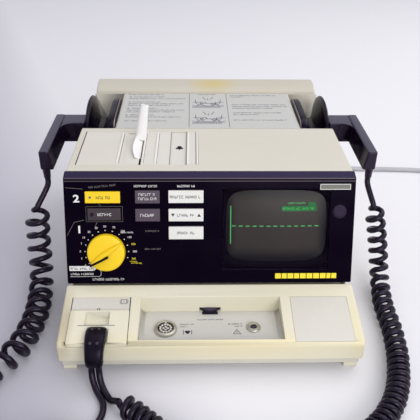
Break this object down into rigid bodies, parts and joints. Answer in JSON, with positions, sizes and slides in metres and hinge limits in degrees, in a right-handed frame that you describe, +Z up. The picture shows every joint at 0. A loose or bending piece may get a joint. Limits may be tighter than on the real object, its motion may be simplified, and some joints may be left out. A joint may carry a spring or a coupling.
{
  "type": "portable defibrillator",
  "caption": "Mains-powered defibrillator and heart monitor with stored hand paddles, curled cords, sloped control panel, strip recorder and carrying handle.",
  "frame": {"origin": "middle of the unit's footprint, on the surface its feet stand on", "axes": "+X to the operator's right, +Y towards the carrying handle at the back, +Z up"},
  "size_m": [0.7739, 0.6338, 0.2144],
  "materials": {
    "ivory_plastic": "fine-textured ivory moulding",
    "pale_plastic": "fine-textured pale grey moulding",
    "gloss_panel": "glossy near-black overlay",
    "black_plastic": "satin black moulding",
    "yellow_plastic": "satin yellow moulding",
    "dark_grey_plastic": "satin dark grey moulding",
    "white_plastic": "satin white moulding",
    "black_rubber": "smooth black rubber",
    "grey_rubber": "smooth grey rubber",
    "steel": "brushed plate",
    "aluminium": "plain can",
    "tinted_glass": "dark tinted glass",
    "paper": "thermal paper",
    "circuit_board": "green solder mask"
  },
  "bodies": {
    "root": {"base_pan": "ivory_plastic", "console_housing": "ivory_plastic", "recess_floor": "pale_plastic", "blank_cover": "pale_plastic", "module_cover": "ivory_plastic", "rear_housing": "ivory_plastic", "label_plate": "pale_plastic", "carry_handle": "ivory_plastic", "front_panel": "gloss_panel", "screen_window": "tinted_glass", "status_lens": "black_plastic", "display_tube": "tinted_glass", "energy_switch": "dark_grey_plastic", "ecg_socket": "pale_plastic", "output_jack": "black_plastic", "receptacle_cover": "pale_plastic", "recorder_tray": "pale_plastic", "print_head_cover": "pale_plastic", "main_board": "circuit_board", "power_supply": "aluminium", "battery_pack": "dark_grey_plastic", "storage_capacitor": "aluminium", "foot_front_left": "ivory_plastic", "foot_front_right": "ivory_plastic", "foot_rear_left": "ivory_plastic", "foot_rear_right": "ivory_plastic", "mains_inlet": "black_plastic", "mains_connector": "grey_rubber", "mains_lead": "grey_rubber", "mains_coil": "grey_rubber", "mains_plug": "grey_rubber", "cord_left_upper": "black_rubber", "cord_left_curl": "black_rubber", "cord_left_lower": "black_rubber", "cord_right_upper": "black_rubber", "cord_right_curl": "black_rubber", "cord_right_lower": "black_rubber"},
    "energy_knob": {"energy_knob": "yellow_plastic"},
    "volume_wheel": {"volume_wheel": "black_plastic"},
    "charge_button": {"charge_button": "yellow_plastic"},
    "standby_button": {"standby_button": "dark_grey_plastic"},
    "sync_button": {"sync_button": "dark_grey_plastic"},
    "report_button": {"report_button": "dark_grey_plastic"},
    "lead_button": {"lead_button": "white_plastic"},
    "alarm_button": {"alarm_button": "white_plastic"},
    "gain_rocker": {"gain_rocker": "white_plastic"},
    "recorder_door": {"recorder_door": "ivory_plastic", "paper_strip": "paper"},
    "paper_roll": {"paper_roll": "paper"},
    "platen_roller": {"platen_roller": "black_rubber"},
    "paddle_left": {"paddle_left_body": "black_plastic", "paddle_left_grip": "black_plastic", "paddle_left_electrode": "steel"},
    "paddle_left_button": {"paddle_left_button": "yellow_plastic"},
    "paddle_right": {"paddle_right_body": "black_plastic", "paddle_right_grip": "black_plastic", "paddle_right_electrode": "steel"},
    "paddle_right_button": {"paddle_right_button": "yellow_plastic"},
    "paddle_connector": {"paddle_connector": "ivory_plastic", "cord_boot": "black_rubber"}
  },
  "joints": [
    {"name": "energy_knob_turn", "type": "hinge", "parent": "root", "child": "energy_knob", "pos_m": [-0.1145, -0.11271, 0.09315], "axis": [0, -0.9397, 0.342], "range_deg": [-231, 0]},
    {"name": "volume_wheel_turn", "type": "hinge", "parent": "root", "child": "volume_wheel", "pos_m": [-0.0004, -0.1358, 0.0357], "axis": [0, 0, 1], "range_deg": [-135, 135]},
    {"name": "charge_button_press", "type": "slide", "parent": "root", "child": "charge_button", "axis": [0, 0.9397, -0.342], "range_m": [0, 0.0015], "stiffness_N_per_m": 600},
    {"name": "standby_button_press", "type": "slide", "parent": "root", "child": "standby_button", "axis": [0, 0.9397, -0.342], "range_m": [0, 0.0015], "stiffness_N_per_m": 600},
    {"name": "sync_button_press", "type": "slide", "parent": "root", "child": "sync_button", "axis": [0, 0.9397, -0.342], "range_m": [0, 0.0015], "stiffness_N_per_m": 600},
    {"name": "report_button_press", "type": "slide", "parent": "root", "child": "report_button", "axis": [0, 0.9397, -0.342], "range_m": [0, 0.0015], "stiffness_N_per_m": 600},
    {"name": "lead_button_press", "type": "slide", "parent": "root", "child": "lead_button", "axis": [0, 0.9397, -0.342], "range_m": [0, 0.0015], "stiffness_N_per_m": 600},
    {"name": "alarm_button_press", "type": "slide", "parent": "root", "child": "alarm_button", "axis": [0, 0.9397, -0.342], "range_m": [0, 0.0015], "stiffness_N_per_m": 600},
    {"name": "gain_rocker_rock", "type": "hinge", "parent": "root", "child": "gain_rocker", "pos_m": [-0.0267, -0.09857, 0.132], "axis": [0, 0.342, 0.9397], "range_deg": [-3.5, 3.5], "stiffness_Nm_per_rad": 0.1},
    {"name": "recorder_door_open", "type": "hinge", "parent": "root", "child": "recorder_door", "pos_m": [-0.149, 0, 0.1735], "axis": [0, -1, 0], "range_deg": [0, 105]},
    {"name": "paper_roll_spin", "type": "hinge", "parent": "root", "child": "paper_roll", "pos_m": [-0.122, -0.016, 0.1485], "axis": [0, 1, 0], "continuous": true},
    {"name": "platen_roller_spin", "type": "hinge", "parent": "root", "child": "platen_roller", "pos_m": [-0.087, -0.016, 0.1615], "axis": [0, 1, 0], "continuous": true},
    {"name": "paddle_left_slide", "type": "slide", "parent": "root", "child": "paddle_left", "axis": [-1, 0, 0], "range_m": [0, 0.045]},
    {"name": "paddle_left_button_press", "type": "slide", "parent": "paddle_left", "child": "paddle_left_button", "axis": [0, -1, 0], "range_m": [0, 0.0025], "stiffness_N_per_m": 800},
    {"name": "paddle_right_slide", "type": "slide", "parent": "root", "child": "paddle_right", "axis": [1, 0, 0], "range_m": [0, 0.045]},
    {"name": "paddle_right_button_press", "type": "slide", "parent": "paddle_right", "child": "paddle_right_button", "axis": [0, -1, 0], "range_m": [0, 0.0025], "stiffness_N_per_m": 800},
    {"name": "paddle_connector_slide", "type": "slide", "parent": "root", "child": "paddle_connector", "axis": [0, -1, 0], "range_m": [0, 0.018]}
  ],
  "couplings": [
    {"joint": "platen_roller_spin", "follows": "paper_roll_spin", "ratio": 3}
  ]
}
